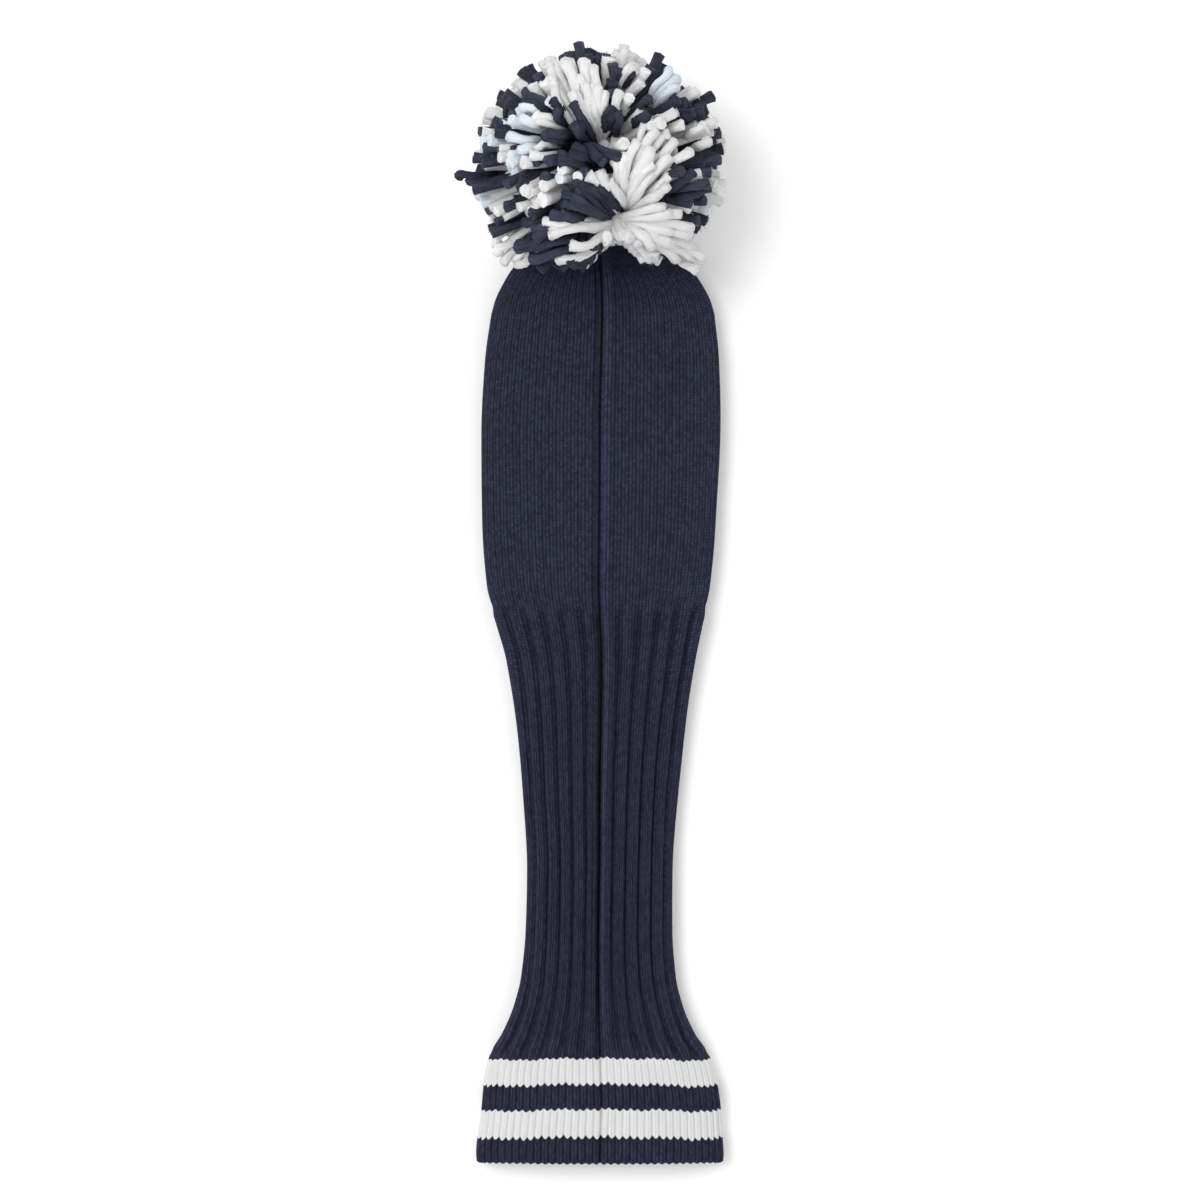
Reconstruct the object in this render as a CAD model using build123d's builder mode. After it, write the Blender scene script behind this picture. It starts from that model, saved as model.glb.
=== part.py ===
from build123d import *
import math
import os

# Knitted golf driver head cover with a pom-pom, lying flat with its seam side up.
# +Z is up from the surface it lies on, +Y runs along the cover towards the pom-pom, X is across.
# The origin is on that surface, under the middle of the whole length. Millimetres and degrees.

# Lengths along the cover, from the hem edge up
edge_band_length = 10.7
lower_white_length = 11.3
middle_navy_length = 10.3
upper_white_length = 10.5
neck_length = 174.0
transition_length = 24.0
sleeve_length = 113.0
crown_length = 26.5

# Widths of the flat cover
hem_edge_width = 102.0
hem_top_width = 90.2
neck_flare_width = 73.5
neck_waist_width = 59.4
neck_middle_width = 63.4
neck_top_width = 80.8
sleeve_start_width = 92.6
sleeve_widest_width = 97.4
shoulder_width = 88.4
crown_width = 77.0
crown_fold_width = 54.0
crown_tip_width = 16.0

# Heights of the flat cover above the surface
hem_height = 21.0
neck_flare_height = 20.0
neck_height = 18.0
neck_top_height = 21.0
sleeve_start_height = 22.5
sleeve_height = 24.0
shoulder_height = 23.0

# Where sections sit, as shares of the stretch they are in
neck_flare_share = 0.09
neck_waist_share = 0.34
neck_middle_share = 0.62
sleeve_widest_share = 0.5
crown_turn_share = 0.46
crown_fold_share = 0.77

# Crown: the last rows turn up towards the pom-pom, by these shares of the tie's own slope
crown_turn_tilt_share = 0.25
crown_fold_tilt_share = 0.6
crown_center_height = 10.0
crown_half_height = 12.0
crown_fold_center_height = 12.5
crown_fold_half_height = 10.4
crown_tip_center_height = 16.0
crown_tip_half_height = 7.0

# Fabric
knit_wall = 3.0
lining_wall = 1.4
lining_clearance = 0.4
lining_start_gap = 8.0
lining_end_gap = 28.0
binding_length = 5.0
binding_wall = 2.0

# Centre-back seam
seam_width = 1.6
seam_recess = 0.6
seam_tip_gap = 9.0

# Crown gathering yarn, inside the end wall
gather_ring_radius = 4.8
gather_yarn_radius = 0.8

# Pom-pom and its tie
pom_radius = 50.0
pom_flattening = 5.0
pom_crown_press = 10.0
pom_crown_gap = 4.0
core_radius = 8.0
core_clearance = 1.5
tuft_count = 60
tuft_spread = 9.0
tie_radius = 1.5
tie_hole_clearance = 0.8
tie_hole_length = 9.0
tie_pivot_reach = 1.5
tie_seat_clearance = 0.3
tie_lane_spread = 25.0
knot_radius = 3.0
knot_depth = 5.5

# An oval section is cut by the surface it lies on: this share of its height is its half height
oval_share = 0.62
hem_swell = 0.3
golden_angle = 137.50776

# Places along the cover, from the hem edge
edge_band_top = edge_band_length
lower_white_top = edge_band_top + lower_white_length
middle_navy_top = lower_white_top + middle_navy_length
hem_top = middle_navy_top + upper_white_length
neck_top = hem_top + neck_length
sleeve_start = neck_top + transition_length
shoulder = sleeve_start + sleeve_length
crown_tip = shoulder + crown_length
tie_length = pom_radius - pom_crown_press
pom_center_height = pom_radius - pom_flattening
tie_rise = pom_center_height - crown_tip_center_height
pom_center = crown_tip + math.sqrt(tie_length**2 - tie_rise**2)
whole_length = pom_center + pom_radius
middle = whole_length / 2

# The tie runs from the crown tip to the middle of the pom-pom
tip_point = Vector(0, crown_tip - middle, crown_tip_center_height)
pom_point = Vector(0, pom_center - middle, pom_center_height)
tie_direction = (pom_point - tip_point).normalized()
tie_angle = math.degrees(math.atan2(tie_direction.Z, tie_direction.Y))
sway_point = tip_point - tie_direction * (knit_wall / 2)
tilt_point = tip_point + tie_direction * tie_pivot_reach
knot_point = sway_point - tie_direction * knot_depth


def flat_station(place, width, height):
    """A section of the flat cover: place from the hem edge, width, height above the surface."""
    half_height = height * oval_share
    return (place, height - half_height, 0.0, width / 2, half_height)


def hem_station(place):
    """A section of the hem, which swells outwards between its edge and its top."""
    share = place / hem_top
    narrowing = hem_edge_width - hem_top_width
    swell = 4 * hem_swell * share * (1 - share)
    return flat_station(place, hem_edge_width + narrowing * (swell - share), hem_height)


def station_plane(station, back=0.0):
    """The plane of a section, moved back along its own normal."""
    place, center_height, tilt = station[:3]
    normal = Vector(0, math.cos(math.radians(tilt)), math.sin(math.radians(tilt)))
    point = Vector(0, place - middle, center_height) - normal * back
    return Plane(origin=point, x_dir=(1, 0, 0), z_dir=normal)


def oval_body(stations, inset=0.0):
    """Closed body through the sections, inset all round and flat underneath."""
    with BuildPart() as body:
        for station in stations:
            with BuildSketch(station_plane(station)):
                Ellipse(station[3] - inset, station[4] - inset)
        loft()
        split(bisect_by=Plane.XY.offset(inset), keep=Keep.TOP)
    return body.part


def sleeve_body(inset=0.0):
    """Closed body of the sleeve and its crown, inset all round and at the crown's end."""
    sleeve = oval_body(sleeve_stations, inset)
    with BuildPart() as crown:
        for station in crown_stations:
            back = inset if station is crown_stations[-1] else 0.0
            with BuildSketch(station_plane(station, back)):
                Ellipse(station[3] - inset, station[4] - inset)
        loft(ruled=True)
        split(bisect_by=Plane.XY.offset(inset), keep=Keep.TOP)
    with BuildPart() as body:
        add(sleeve)
        add(crown.part)
    return body.part


def slice_of(body, start, end):
    """The stretch of a body between two places along the cover."""
    with BuildPart() as stretch:
        add(body)
        split(bisect_by=Plane(origin=(0, start - middle, 0), z_dir=(0, 1, 0)), keep=Keep.TOP)
        split(bisect_by=Plane(origin=(0, end - middle, 0), z_dir=(0, 1, 0)), keep=Keep.BOTTOM)
    return stretch.part


def oval_tube(stations, inset, wall):
    """Tube open at both ends, of one wall, inset from the knit's outer face."""
    outside = oval_body(stations, inset)
    inside = oval_body(stations, inset + wall)
    with BuildPart() as tube:
        add(outside)
        add(inside, mode=Mode.SUBTRACT)
    return tube.part


def seam_slot(start, end):
    """The straight slot along the upper wall that the seam fills."""
    with BuildPart() as slot:
        with BuildSketch(Plane.XY.offset(sleeve_height / 2)):
            with Locations((0, (start + end) / 2 - middle)):
                Rectangle(seam_width, end - start)
        extrude(amount=sleeve_height)
    return slot.part


def finish(builder, name):
    """Label a sub-part and write it."""
    builder.part.label = name
    export_step(builder.part, f"parts/{name}.step")


os.makedirs("parts", exist_ok=True)

# Sections of the neck, the transition and the sleeve with its crown
neck_stations = [
    hem_station(hem_top),
    flat_station(hem_top + neck_flare_share * neck_length, neck_flare_width, neck_flare_height),
    flat_station(hem_top + neck_waist_share * neck_length, neck_waist_width, neck_height),
    flat_station(hem_top + neck_middle_share * neck_length, neck_middle_width, neck_height),
    flat_station(neck_top, neck_top_width, neck_top_height),
]
transition_stations = [
    neck_stations[-1],
    flat_station(sleeve_start, sleeve_start_width, sleeve_start_height),
]
sleeve_stations = [
    transition_stations[-1],
    flat_station(sleeve_start + sleeve_widest_share * sleeve_length, sleeve_widest_width, sleeve_height),
    flat_station(shoulder, shoulder_width, shoulder_height),
]
crown_stations = [
    sleeve_stations[-1],
    (shoulder + crown_turn_share * crown_length, crown_center_height, crown_turn_tilt_share * tie_angle,
     crown_width / 2, crown_half_height),
    (shoulder + crown_fold_share * crown_length, crown_fold_center_height, crown_fold_tilt_share * tie_angle,
     crown_fold_width / 2, crown_fold_half_height),
    (crown_tip, crown_tip_center_height, tie_angle, crown_tip_width / 2, crown_tip_half_height),
]

# Hem: four bands of yarn, each slotted for the seam
hem_bands = {
    "hem_edge_navy": (0.0, edge_band_top),
    "hem_white_lower": (edge_band_top, lower_white_top),
    "hem_navy_middle": (lower_white_top, middle_navy_top),
    "hem_white_upper": (middle_navy_top, hem_top),
}
for name, (start, end) in hem_bands.items():
    band_tube = oval_tube([hem_station(start), hem_station(end)], 0.0, knit_wall)
    band_slot = seam_slot(start, end)
    with BuildPart() as hem_band:
        add(band_tube)
        add(band_slot, mode=Mode.SUBTRACT)
    finish(hem_band, name)

# Neck and transition: ribbed tubes, slotted for the seam
for name, stations in {"neck_rib": neck_stations, "neck_transition": transition_stations}.items():
    rib_tube = oval_tube(stations, 0.0, knit_wall)
    rib_slot = seam_slot(stations[0][0], stations[-1][0])
    with BuildPart() as ribbed_tube:
        add(rib_tube)
        add(rib_slot, mode=Mode.SUBTRACT)
    finish(ribbed_tube, name)

# Sleeve: closed at the crown by an end wall with the hole for the tie
sleeve_outside = sleeve_body()
sleeve_inside = sleeve_body(knit_wall)
sleeve_seam_end = crown_tip - seam_tip_gap
sleeve_slot = seam_slot(sleeve_start, sleeve_seam_end)
gather_plane = Plane(origin=sway_point, x_dir=(1, 0, 0), z_dir=tie_direction)

with BuildPart(gather_plane) as crown_gather_yarn:
    Torus(gather_ring_radius, gather_yarn_radius)
finish(crown_gather_yarn, "crown_gather_yarn")

with BuildPart() as sleeve_knit:
    add(sleeve_outside)
    add(sleeve_inside, mode=Mode.SUBTRACT)
    add(sleeve_slot, mode=Mode.SUBTRACT)
    add(crown_gather_yarn.part, mode=Mode.SUBTRACT)
    with Locations(gather_plane):
        Cylinder(tie_radius + tie_hole_clearance, tie_hole_length, mode=Mode.SUBTRACT)
finish(sleeve_knit, "sleeve_knit")

# Centre-back seam: yarn drawn a little below the knit's face, in four runs
hem_stations = [hem_station(start) for start, _ in hem_bands.values()] + [hem_station(hem_top)]
seam_wall = knit_wall - seam_recess
with BuildPart() as sleeve_seam_tube:
    add(sleeve_body(seam_recess))
    add(sleeve_inside, mode=Mode.SUBTRACT)
seam_runs = {
    "hem_seam": (oval_tube(hem_stations, seam_recess, seam_wall), 0.0, hem_top),
    "neck_seam": (oval_tube(neck_stations, seam_recess, seam_wall), hem_top, neck_top),
    "transition_seam": (oval_tube(transition_stations, seam_recess, seam_wall), neck_top, sleeve_start),
    "sleeve_seam": (sleeve_seam_tube.part, sleeve_start, sleeve_seam_end),
}
for name, (seam_tube, start, end) in seam_runs.items():
    slot = seam_slot(start, end)
    with BuildPart() as seam_run:
        add(seam_tube)
        add(slot, mode=Mode.INTERSECT)
    finish(seam_run, name)

# Head lining: a pocket inside the sleeve, bound at its open edge
lining_inset = knit_wall + lining_clearance
lining_start = sleeve_start + lining_start_gap
lining_end = crown_tip - lining_end_gap
lining_outside = slice_of(sleeve_body(lining_inset), lining_start, lining_end)
lining_inside = slice_of(sleeve_body(lining_inset + lining_wall), lining_start, lining_end - lining_wall)
with BuildPart() as head_lining:
    add(lining_outside)
    add(lining_inside, mode=Mode.SUBTRACT)
finish(head_lining, "head_lining")

binding_start = lining_start - binding_length
binding_outside = slice_of(sleeve_body(lining_inset), binding_start, lining_start)
binding_inside = slice_of(sleeve_body(lining_inset + binding_wall), binding_start, lining_start)
with BuildPart() as lining_binding:
    add(binding_outside)
    add(binding_inside, mode=Mode.SUBTRACT)
finish(lining_binding, "lining_binding")

# Tie: a knot inside the crown, a stub through its end wall, a cord on to the core
with BuildPart(Plane(origin=knot_point, x_dir=(1, 0, 0), z_dir=tie_direction)) as tie_knot:
    Sphere(knot_radius)
    stub_length = (tilt_point - knot_point).length
    Cylinder(tie_radius, stub_length, align=(Align.CENTER, Align.CENTER, Align.MIN))
    with Locations((0, 0, stub_length)):
        Sphere(tie_radius)
finish(tie_knot, "tie_knot")

with BuildPart(Plane(origin=pom_point, x_dir=(1, 0, 0), z_dir=tie_direction)) as core_binding:
    Sphere(core_radius)
finish(core_binding, "core_binding")

with BuildPart() as tie_cord:
    with Locations(Plane(origin=tilt_point, x_dir=(1, 0, 0), z_dir=tie_direction)):
        Cylinder(tie_radius, tie_length - tie_pivot_reach, align=(Align.CENTER, Align.CENTER, Align.MIN))
        Sphere(tie_radius + tie_seat_clearance, mode=Mode.SUBTRACT)
    add(core_binding.part, mode=Mode.SUBTRACT)
finish(tie_cord, "tie_cord")

# Pom-pom: tapered tufts all round the core, flat where they lie and where they meet the crown
tuft_root = core_radius + core_clearance
with BuildPart() as tuft:
    with BuildSketch(Plane.XZ):
        with BuildLine():
            root_half = tuft_root * math.tan(math.radians(tuft_spread))
            tip_half = pom_radius * math.sin(math.radians(tuft_spread))
            tip_start = pom_radius * math.cos(math.radians(tuft_spread))
            Line((0, tuft_root), (root_half, tuft_root))
            Line((root_half, tuft_root), (tip_half, tip_start))
            RadiusArc((tip_half, tip_start), (0, pom_radius), -pom_radius)
            Line((0, pom_radius), (0, tuft_root))
        make_face()
    revolve(axis=Axis.Z)

tuft_places = []
for index in range(tuft_count):
    off_tie = math.degrees(math.acos(1 - (2 * index + 1) / tuft_count))
    if off_tie > tie_lane_spread:
        tuft_places.append(Plane(origin=pom_point, x_dir=(1, 0, 0), z_dir=tie_direction).location
                           * Location((0, 0, 0), (0, 0, index * golden_angle))
                           * Location((0, 0, 0), (0, 180 - off_tie, 0)))

crown_cut = Plane(origin=tip_point + tie_direction * pom_crown_gap, x_dir=(1, 0, 0), z_dir=tie_direction)
yarn_turns = ("navy", "white", "navy", "white", "ice")
for yarn in ("navy", "white", "ice"):
    with BuildPart() as pom_yarn:
        for index, tuft_place in enumerate(tuft_places):
            if yarn_turns[index % len(yarn_turns)] == yarn:
                with Locations(tuft_place):
                    add(tuft.part)
        split(bisect_by=crown_cut, keep=Keep.TOP)
        split(bisect_by=Plane.XY, keep=Keep.TOP)
    finish(pom_yarn, f"pom_yarn_{yarn}")
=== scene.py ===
import math

import bmesh
import bpy
import numpy as np
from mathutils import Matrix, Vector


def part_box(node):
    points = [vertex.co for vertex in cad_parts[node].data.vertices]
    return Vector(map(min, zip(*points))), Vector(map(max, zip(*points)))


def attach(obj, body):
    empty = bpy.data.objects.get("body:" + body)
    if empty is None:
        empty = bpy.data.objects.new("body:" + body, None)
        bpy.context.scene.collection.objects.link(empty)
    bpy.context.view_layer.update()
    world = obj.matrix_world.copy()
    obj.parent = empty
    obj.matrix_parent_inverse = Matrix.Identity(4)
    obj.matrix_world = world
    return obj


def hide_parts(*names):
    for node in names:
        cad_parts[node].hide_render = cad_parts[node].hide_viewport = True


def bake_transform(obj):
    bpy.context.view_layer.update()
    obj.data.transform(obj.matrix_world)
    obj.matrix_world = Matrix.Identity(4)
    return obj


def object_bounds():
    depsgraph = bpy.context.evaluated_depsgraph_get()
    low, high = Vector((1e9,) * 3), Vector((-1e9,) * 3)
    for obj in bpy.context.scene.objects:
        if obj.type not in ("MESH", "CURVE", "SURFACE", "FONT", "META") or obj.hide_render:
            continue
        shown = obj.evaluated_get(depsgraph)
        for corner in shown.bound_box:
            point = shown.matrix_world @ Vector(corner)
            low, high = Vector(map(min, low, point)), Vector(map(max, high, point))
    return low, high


# A knitted golf driver head cover with a pom-pom, lying flat with its seam side up.
# Metres. +Y runs from the hem to the pom-pom, +Z is up from the surface it lies on.
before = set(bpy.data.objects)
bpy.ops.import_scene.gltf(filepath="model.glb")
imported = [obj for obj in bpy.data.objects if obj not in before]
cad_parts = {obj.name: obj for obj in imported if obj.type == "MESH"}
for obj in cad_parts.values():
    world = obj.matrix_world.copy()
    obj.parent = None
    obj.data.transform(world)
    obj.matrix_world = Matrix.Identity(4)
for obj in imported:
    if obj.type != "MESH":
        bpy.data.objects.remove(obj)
cad_low, cad_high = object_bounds()

MM = 0.001

# Places taken from the frame
hem_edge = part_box("hem_edge_navy")[0].y
lower_white_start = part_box("hem_white_lower")[0].y
middle_navy_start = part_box("hem_navy_middle")[0].y
upper_white_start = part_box("hem_white_upper")[0].y
neck_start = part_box("neck_rib")[0].y
bend_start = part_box("neck_transition")[0].y
lining_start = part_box("head_lining")[0].y
lining_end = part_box("head_lining")[1].y
binding_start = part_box("lining_binding")[0].y
core_low, core_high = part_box("core_binding")
pom_center = (np.array(core_low) + np.array(core_high)) / 2
gather_low, gather_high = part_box("crown_gather_yarn")
tie_start = (np.array(gather_low) + np.array(gather_high)) / 2

# The knit: one count of wales all round, from hem to crown
WALES = 72
COURSE = 1.25 * MM
SAMPLES_PER_WALE = 8
KNIT_WALL = 2.7 * MM
STITCH_SLANT = 0.9


# ---------------------------------------------------------------- numbers

def smooth_step(value, start, end):
    """0 before start, 1 after end, and 3t^2 - 2t^3 between them."""
    t = np.clip((value - start) / (end - start), 0, 1)
    return t * t * (3 - 2 * t)


def smooth_curve(x, xs, ys):
    """Cubic through the points (xs, ys): each span is a Hermite cubic whose end slopes are the
    harmonic mean of the two neighbouring chords, or level at a turning point."""
    xs, ys = np.asarray(xs, float), np.asarray(ys, float)
    chord = np.diff(ys) / np.diff(xs)
    slope = np.zeros_like(ys)
    same_way = chord[:-1] * chord[1:] > 0
    left, right = chord[:-1][same_way], chord[1:][same_way]
    slope[1:-1][same_way] = 2 * left * right / (left + right)
    slope[0], slope[-1] = chord[0], chord[-1]
    span = np.clip(np.searchsorted(xs, x, side="right") - 1, 0, len(xs) - 2)
    width = xs[span + 1] - xs[span]
    t = np.clip((x - xs[span]) / width, 0, 1)
    keep = 2 * t**3 - 3 * t**2 + 1
    return (keep * ys[span] + (1 - keep) * ys[span + 1]
            + width * (t**3 - 2 * t**2 + t) * slope[span] + width * (t**3 - t**2) * slope[span + 1])


def soft_floor(z, floor, rounding):
    """z where it is well above floor, floor where it is well below, rounded between."""
    above = z - floor
    return floor + 0.5 * (above + np.sqrt(above**2 + rounding**2))


def unit(vectors):
    """Each vector over its length."""
    return vectors / np.maximum(np.linalg.norm(vectors, axis=-1, keepdims=True), 1e-12)


# ---------------------------------------------------------------- meshes

def grid_faces(rows, columns, close_rows, close_columns):
    """Quads of a grid with points counted row by row; a closed side joins back to its start."""
    r = np.arange(rows if close_rows else rows - 1)
    c = np.arange(columns if close_columns else columns - 1)
    r, c = np.meshgrid(r, c, indexing="ij")
    r2, c2 = (r + 1) % rows, (c + 1) % columns
    quads = np.stack([r * columns + c, r * columns + c2, r2 * columns + c2, r2 * columns + c], -1)
    corners = np.stack([np.stack([r, c], -1), np.stack([r, c + 1], -1),
                        np.stack([r + 1, c + 1], -1), np.stack([r + 1, c], -1)], -2)
    return quads.reshape(-1, 4), corners.reshape(-1, 4, 2)


def wall_map(corners, rows, columns):
    """The OFBake map of a closed wall: its rows and columns over the square, just inside it."""
    return np.stack([corners[..., 1] / columns, corners[..., 0] / rows], -1) * 0.996 + 0.002


def make_piece(name, points, faces, maps, material, smooth=True, painted_light=None):
    """A mesh object at the origin, from points, faces of any size and UV maps per face corner.
    smooth is one value a face, or one for all. painted_light is one value a point: painted shade that
    darkens hollows and a painted highlight that lightens ridges."""
    mesh = bpy.data.meshes.new(name)
    mesh.from_pydata(points.reshape(-1, 3).tolist(), [], faces)
    for map_name, corners in maps.items():
        layer = mesh.uv_layers.new(name=map_name)
        layer.data.foreach_set("uv", np.asarray(corners, np.float32).ravel())
    mesh.polygons.foreach_set("use_smooth", np.broadcast_to(smooth, len(mesh.polygons)).tolist())
    if painted_light is not None:
        # The Shade attribute: painted shade in hollows and a painted highlight on ridges, one value a
        # point.
        mesh.attributes.new("Shade", "FLOAT", "POINT").data.foreach_set(
            "value", np.asarray(painted_light, np.float32).ravel())
    mesh.materials.append(material)
    mesh.update()
    piece = bpy.data.objects.new(name, mesh)
    bpy.context.scene.collection.objects.link(piece)
    return piece


# ---------------------------------------------------------------- materials

def new_group(name, inputs, outputs):
    """A shader node group with named sockets. inputs is {name: (kind, default)} and outputs is
    {name: kind}."""
    group = bpy.data.node_groups.new(name, "ShaderNodeTree")
    for label, (kind, default) in inputs.items():
        socket = group.interface.new_socket(label, in_out="INPUT", socket_type=kind)
        if default is not None:
            socket.default_value = default
    for label, kind in outputs.items():
        group.interface.new_socket(label, in_out="OUTPUT", socket_type=kind)
    given = group.nodes.new("NodeGroupInput").outputs
    return group, given, group.nodes.new("NodeGroupOutput").inputs


def connect(tree, value, socket):
    """A link if value is a socket, else the value itself."""
    if isinstance(value, bpy.types.NodeSocket):
        tree.links.new(value, socket)
    else:
        socket.default_value = value


def calc(tree, operation, *values):
    """One Math node and its output."""
    node = tree.nodes.new("ShaderNodeMath")
    node.operation = operation
    for value, socket in zip(values, node.inputs):
        connect(tree, value, socket)
    return node.outputs[0]


def noise(tree, vector, scale, detail=2.0, roughness=0.5):
    """A noise texture's value."""
    node = tree.nodes.new("ShaderNodeTexNoise")
    tree.links.new(vector, node.inputs["Vector"])
    node.inputs["Scale"].default_value = scale
    node.inputs["Detail"].default_value = detail
    node.inputs["Roughness"].default_value = roughness
    return node.outputs["Fac"]


def mix_color(tree, share, a, b):
    """A colour between a and b."""
    node = tree.nodes.new("ShaderNodeMix")
    node.data_type = "RGBA"
    connect(tree, share, node.inputs["Factor"])
    connect(tree, a, node.inputs["A"])
    connect(tree, b, node.inputs["B"])
    return next(out for out in node.outputs if out.type == "RGBA")


def build_stitch_group():
    """Plain-knit stitches. With w the share of the way across a wale and x = |2w - 1|, a stitch is
    two legs centred at x = 1/2, each rounded as 1 - d^2 and cut into courses along the lines
    C - slant x."""
    group, given, out = new_group(
        "Knit stitches",
        {"Wales and courses": ("NodeSocketVector", None), "Fibre": ("NodeSocketFloat", 0.25)},
        {"Height": "NodeSocketFloat", "Tone": "NodeSocketFloat", "Leg": "NodeSocketFloat"})
    split = group.nodes.new("ShaderNodeSeparateXYZ")
    group.links.new(given["Wales and courses"], split.inputs[0])
    wale, course = split.outputs["X"], split.outputs["Y"]
    across = calc(group, "FRACT", wale)
    from_middle = calc(group, "ABSOLUTE", calc(group, "MULTIPLY_ADD", across, 2.0, -1.0))
    off_leg = calc(group, "MULTIPLY", calc(group, "SUBTRACT", from_middle, 0.5), 2.0)
    leg = calc(group, "SUBTRACT", 1.0, calc(group, "MULTIPLY", off_leg, off_leg))
    slanted = calc(group, "SUBTRACT", course, calc(group, "MULTIPLY", from_middle, STITCH_SLANT))
    along = calc(group, "MULTIPLY_ADD", calc(group, "FRACT", slanted), 2.0, -1.0)
    swell = calc(group, "SUBTRACT", 1.0, calc(group, "MULTIPLY", along, along))
    stitch = calc(group, "MULTIPLY", leg, calc(group, "MULTIPLY_ADD", swell, 0.75, 0.25))
    cell = group.nodes.new("ShaderNodeCombineXYZ")
    group.links.new(calc(group, "FLOOR", calc(group, "MULTIPLY", wale, 2.0)), cell.inputs["X"])
    group.links.new(calc(group, "FLOOR", slanted), cell.inputs["Y"])
    white = group.nodes.new("ShaderNodeTexWhiteNoise")
    white.noise_dimensions = "2D"
    group.links.new(cell.outputs[0], white.inputs["Vector"])
    stretch = group.nodes.new("ShaderNodeVectorMath")
    stretch.operation = "MULTIPLY"
    group.links.new(given["Wales and courses"], stretch.inputs[0])
    stretch.inputs[1].default_value = (9.0, 3.5, 1.0)
    fibre = noise(group, stretch.outputs[0], 1.0, 3.0, 0.65)
    group.links.new(calc(group, "MULTIPLY_ADD", fibre, given["Fibre"], stitch), out["Height"])
    tone = calc(group, "ADD", calc(group, "MULTIPLY", white.outputs["Value"], 0.75),
                calc(group, "MULTIPLY", fibre, 0.25))
    group.links.new(tone, out["Tone"])
    group.links.new(stitch, out["Leg"])
    return group


def build_yarn_group():
    """Soft plied yarn. Fine fibres run round the strand in a long twist: noise stretched along
    the line across = turn + twist x length, over a broader unevenness."""
    group, given, out = new_group(
        "Yarn fibres",
        {"Round and along": ("NodeSocketVector", None), "Twist": ("NodeSocketFloat", 0.02)},
        {"Height": "NodeSocketFloat", "Tone": "NodeSocketFloat"})
    split = group.nodes.new("ShaderNodeSeparateXYZ")
    group.links.new(given["Round and along"], split.inputs[0])
    turn, length = split.outputs["X"], split.outputs["Y"]
    twisted = calc(group, "ADD", turn, calc(group, "MULTIPLY", length, given["Twist"]))
    place = group.nodes.new("ShaderNodeCombineXYZ")
    group.links.new(calc(group, "MULTIPLY", twisted, 9.0), place.inputs["X"])
    group.links.new(calc(group, "MULTIPLY", length, 0.16), place.inputs["Y"])
    fine = noise(group, place.outputs[0], 2.4, 3.0, 0.6)
    broad = noise(group, place.outputs[0], 0.5, 1.0)
    group.links.new(calc(group, "MULTIPLY_ADD", broad, 0.6, fine), out["Height"])
    group.links.new(calc(group, "MULTIPLY_ADD", fine, 0.6, calc(group, "MULTIPLY", broad, 0.4)),
                    out["Tone"])
    return group


STITCHES = build_stitch_group()
FIBRES = build_yarn_group()


def new_material(name, sheen, sheen_tint, roughness):
    """A material with its shader: rough, with the soft sheen of loose fibre ends."""
    material = bpy.data.materials.new(name)
    material.use_nodes = True
    shader = material.node_tree.nodes["Principled BSDF"]
    shader.inputs["Roughness"].default_value = roughness
    shader.inputs["Specular IOR Level"].default_value = 0.2
    shader.inputs["Sheen Weight"].default_value = sheen
    shader.inputs["Sheen Roughness"].default_value = 0.55
    shader.inputs["Sheen Tint"].default_value = (*sheen_tint, 1.0)
    return material, material.node_tree, shader


def bump(tree, shader, height, distance, strength):
    """A bump of that depth into the shader's normal."""
    node = tree.nodes.new("ShaderNodeBump")
    node.inputs["Distance"].default_value = distance
    node.inputs["Strength"].default_value = strength
    tree.links.new(height, node.inputs["Height"])
    tree.links.new(node.outputs["Normal"], shader.inputs["Normal"])


def knit_material(name, dark, light, sheen, stitch_depth, speckle):
    """Knitted yarn: a stitch's colour runs from a painted shade, dark in the gaps between its legs, to
    its own tone on them, and broad patches of the knit are a little lighter or darker. The Shade
    attribute adds painted shade in hollows and a painted highlight on ridges."""
    material, tree, shader = new_material(name, sheen, light, 0.95)
    layout = tree.nodes.new("ShaderNodeUVMap")
    layout.uv_map = "Knit"
    stitches = tree.nodes.new("ShaderNodeGroup")
    stitches.node_tree = STITCHES
    tree.links.new(layout.outputs["UV"], stitches.inputs["Wales and courses"])
    place = tree.nodes.new("ShaderNodeTexCoord").outputs["Object"]
    patches = noise(tree, place, 60.0, 4.0, 0.6)
    tone = calc(tree, "MULTIPLY_ADD", stitches.outputs["Tone"], speckle, 1.0 - speckle)
    tone = calc(tree, "MULTIPLY", tone, calc(tree, "MULTIPLY_ADD", patches, 0.6, 0.70))
    # Painted shade: the colour is darker in the gaps between a stitch's legs.
    leg = calc(tree, "MULTIPLY_ADD", stitches.outputs["Leg"], 0.8, 0.2)
    share = calc(tree, "MULTIPLY", tone, leg)
    # Painted shade in the ribs' and seam's grooves and a painted highlight on the selvedge, read from
    # the Shade attribute.
    painted_light_attribute = tree.nodes.new("ShaderNodeAttribute")
    painted_light_attribute.attribute_name = "Shade"
    share = calc(tree, "MULTIPLY", share, painted_light_attribute.outputs["Fac"])
    share = calc(tree, "MINIMUM", share, 1.0)
    tree.links.new(mix_color(tree, share, (*dark, 1.0), (*light, 1.0)), shader.inputs["Base Color"])
    bump(tree, shader, stitches.outputs["Height"], stitch_depth, 1.0)
    return material


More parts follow.
